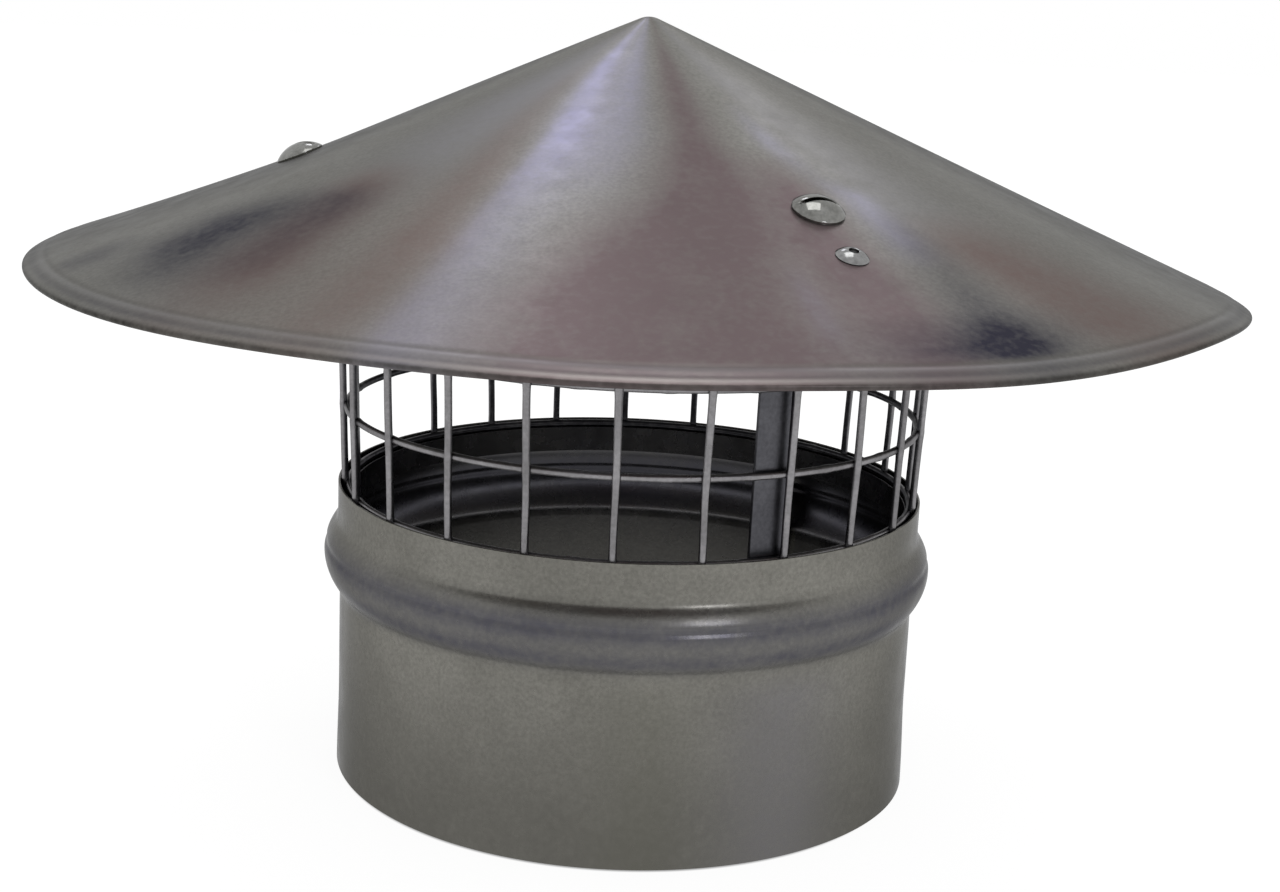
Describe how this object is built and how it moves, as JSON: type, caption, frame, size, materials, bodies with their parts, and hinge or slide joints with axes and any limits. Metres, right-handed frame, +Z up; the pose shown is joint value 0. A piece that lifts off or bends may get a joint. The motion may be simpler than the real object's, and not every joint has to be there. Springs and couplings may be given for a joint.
{
  "type": "chimney cap",
  "caption": "Round galvanised chimney cap: a beaded collar, a bird mesh cage on strap legs and a wide conical rain hat.",
  "frame": {"origin": "centre of the collar's lower edge, on the flue's axis, at the bottom centre of the bounding box", "axes": "+Z up along the flue's axis, -Y towards the side that faces the camera, +X to the picture's right"},
  "size_m": [0.3624, 0.3624, 0.2336],
  "materials": {
    "galvanised_sheet": "satin",
    "galvanised_wire": "satin",
    "galvanised_strap": "dull",
    "bright_zinc_bolt": "bright",
    "rivet_alloy": "bright"
  },
  "bodies": {
    "root": {"hat": "galvanised_sheet", "collar": "galvanised_sheet", "mesh_clamp_band": "galvanised_sheet", "mesh_wire_01": "galvanised_wire", "mesh_wire_02": "galvanised_wire", "mesh_wire_03": "galvanised_wire", "mesh_wire_04": "galvanised_wire", "mesh_wire_05": "galvanised_wire", "mesh_wire_06": "galvanised_wire", "mesh_wire_07": "galvanised_wire", "mesh_wire_08": "galvanised_wire", "mesh_wire_09": "galvanised_wire", "mesh_wire_10": "galvanised_wire", "mesh_wire_11": "galvanised_wire", "mesh_wire_12": "galvanised_wire", "mesh_wire_13": "galvanised_wire", "mesh_wire_14": "galvanised_wire", "mesh_wire_15": "galvanised_wire", "mesh_wire_16": "galvanised_wire", "mesh_wire_17": "galvanised_wire", "mesh_wire_18": "galvanised_wire", "mesh_wire_19": "galvanised_wire", "mesh_wire_20": "galvanised_wire", "mesh_wire_21": "galvanised_wire", "mesh_wire_22": "galvanised_wire", "mesh_ring_1": "galvanised_wire", "mesh_ring_2": "galvanised_wire", "mesh_ring_3": "galvanised_wire", "mesh_ring_4": "galvanised_wire", "leg_front": "galvanised_strap", "leg_back": "galvanised_strap", "leg_left": "galvanised_strap", "bolt_front": "bright_zinc_bolt", "bolt_back": "bright_zinc_bolt", "bolt_left": "bright_zinc_bolt", "nut_front": "bright_zinc_bolt", "nut_back": "bright_zinc_bolt", "nut_left": "bright_zinc_bolt", "rivet_front": "rivet_alloy"}
  },
  "joints": []
}
